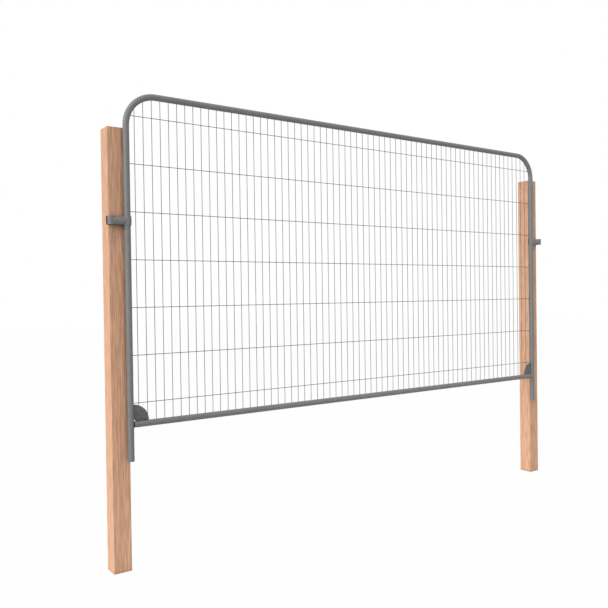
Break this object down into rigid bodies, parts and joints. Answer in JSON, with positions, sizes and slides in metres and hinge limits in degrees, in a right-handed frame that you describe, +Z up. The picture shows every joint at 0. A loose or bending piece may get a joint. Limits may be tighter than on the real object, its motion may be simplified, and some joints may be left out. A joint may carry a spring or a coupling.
{
  "type": "tree protection fence bay",
  "caption": "Fence bay for tree protection: a round-top steel mesh panel held by two-seat clamps in front of square timber posts that are set into the ground.",
  "frame": {"origin": "middle of the bay's base: half way along the fence, level with the feet of the posts", "axes": "+X along the fence, +Y from the mesh panel towards the posts behind it, +Z up"},
  "size_m": [3.661, 0.1656, 2.6],
  "materials": {
    "frame_tube": "matt grey galvanised",
    "mesh_wire": "matt grey galvanised",
    "timber": "planed softwood",
    "clamp_steel": "matt grey galvanised",
    "fastener_steel": "zinc plated"
  },
  "bodies": {
    "posts": {"left_post": "timber", "left_clamp_rear_shell": "clamp_steel", "left_clamp_washer": "fastener_steel", "right_post": "timber", "right_clamp_rear_shell": "clamp_steel", "right_clamp_washer": "fastener_steel"},
    "panel": {"frame_hoop": "frame_tube", "bottom_rail": "frame_tube", "left_gusset": "frame_tube", "right_gusset": "frame_tube", "upright_wires": "mesh_wire", "row_wire_1": "mesh_wire", "row_wire_2": "mesh_wire", "row_wire_3": "mesh_wire", "row_wire_4": "mesh_wire", "row_wire_5": "mesh_wire", "row_wire_6": "mesh_wire", "row_wire_7": "mesh_wire"},
    "left_jaw": {"left_clamp_front_shell": "clamp_steel", "left_clamp_bolt": "fastener_steel"},
    "left_nut": {"left_clamp_nut": "fastener_steel"},
    "right_jaw": {"right_clamp_front_shell": "clamp_steel", "right_clamp_bolt": "fastener_steel"},
    "right_nut": {"right_clamp_nut": "fastener_steel"}
  },
  "joints": [
    {"name": "panel_lift", "type": "slide", "parent": "posts", "child": "panel", "axis": [0, 0, 1], "range_m": [0, 0.17]},
    {"name": "left_nut_turn", "type": "hinge", "parent": "posts", "child": "left_nut", "pos_m": [-1.764, 0.0624, 1.897], "axis": [0, 1, 0], "range_deg": [0, 2160]},
    {"name": "left_jaw_slide", "type": "slide", "parent": "posts", "child": "left_jaw", "axis": [0, -1, 0], "range_m": [0, 0.009]},
    {"name": "right_nut_turn", "type": "hinge", "parent": "posts", "child": "right_nut", "pos_m": [1.764, 0.0624, 1.897], "axis": [0, 1, 0], "range_deg": [0, 2160]},
    {"name": "right_jaw_slide", "type": "slide", "parent": "posts", "child": "right_jaw", "axis": [0, -1, 0], "range_m": [0, 0.009]}
  ],
  "couplings": [
    {"joint": "left_nut_turn", "follows": "left_jaw_slide", "rad_per_m": 4188.8},
    {"joint": "right_nut_turn", "follows": "right_jaw_slide", "rad_per_m": 4188.8}
  ]
}
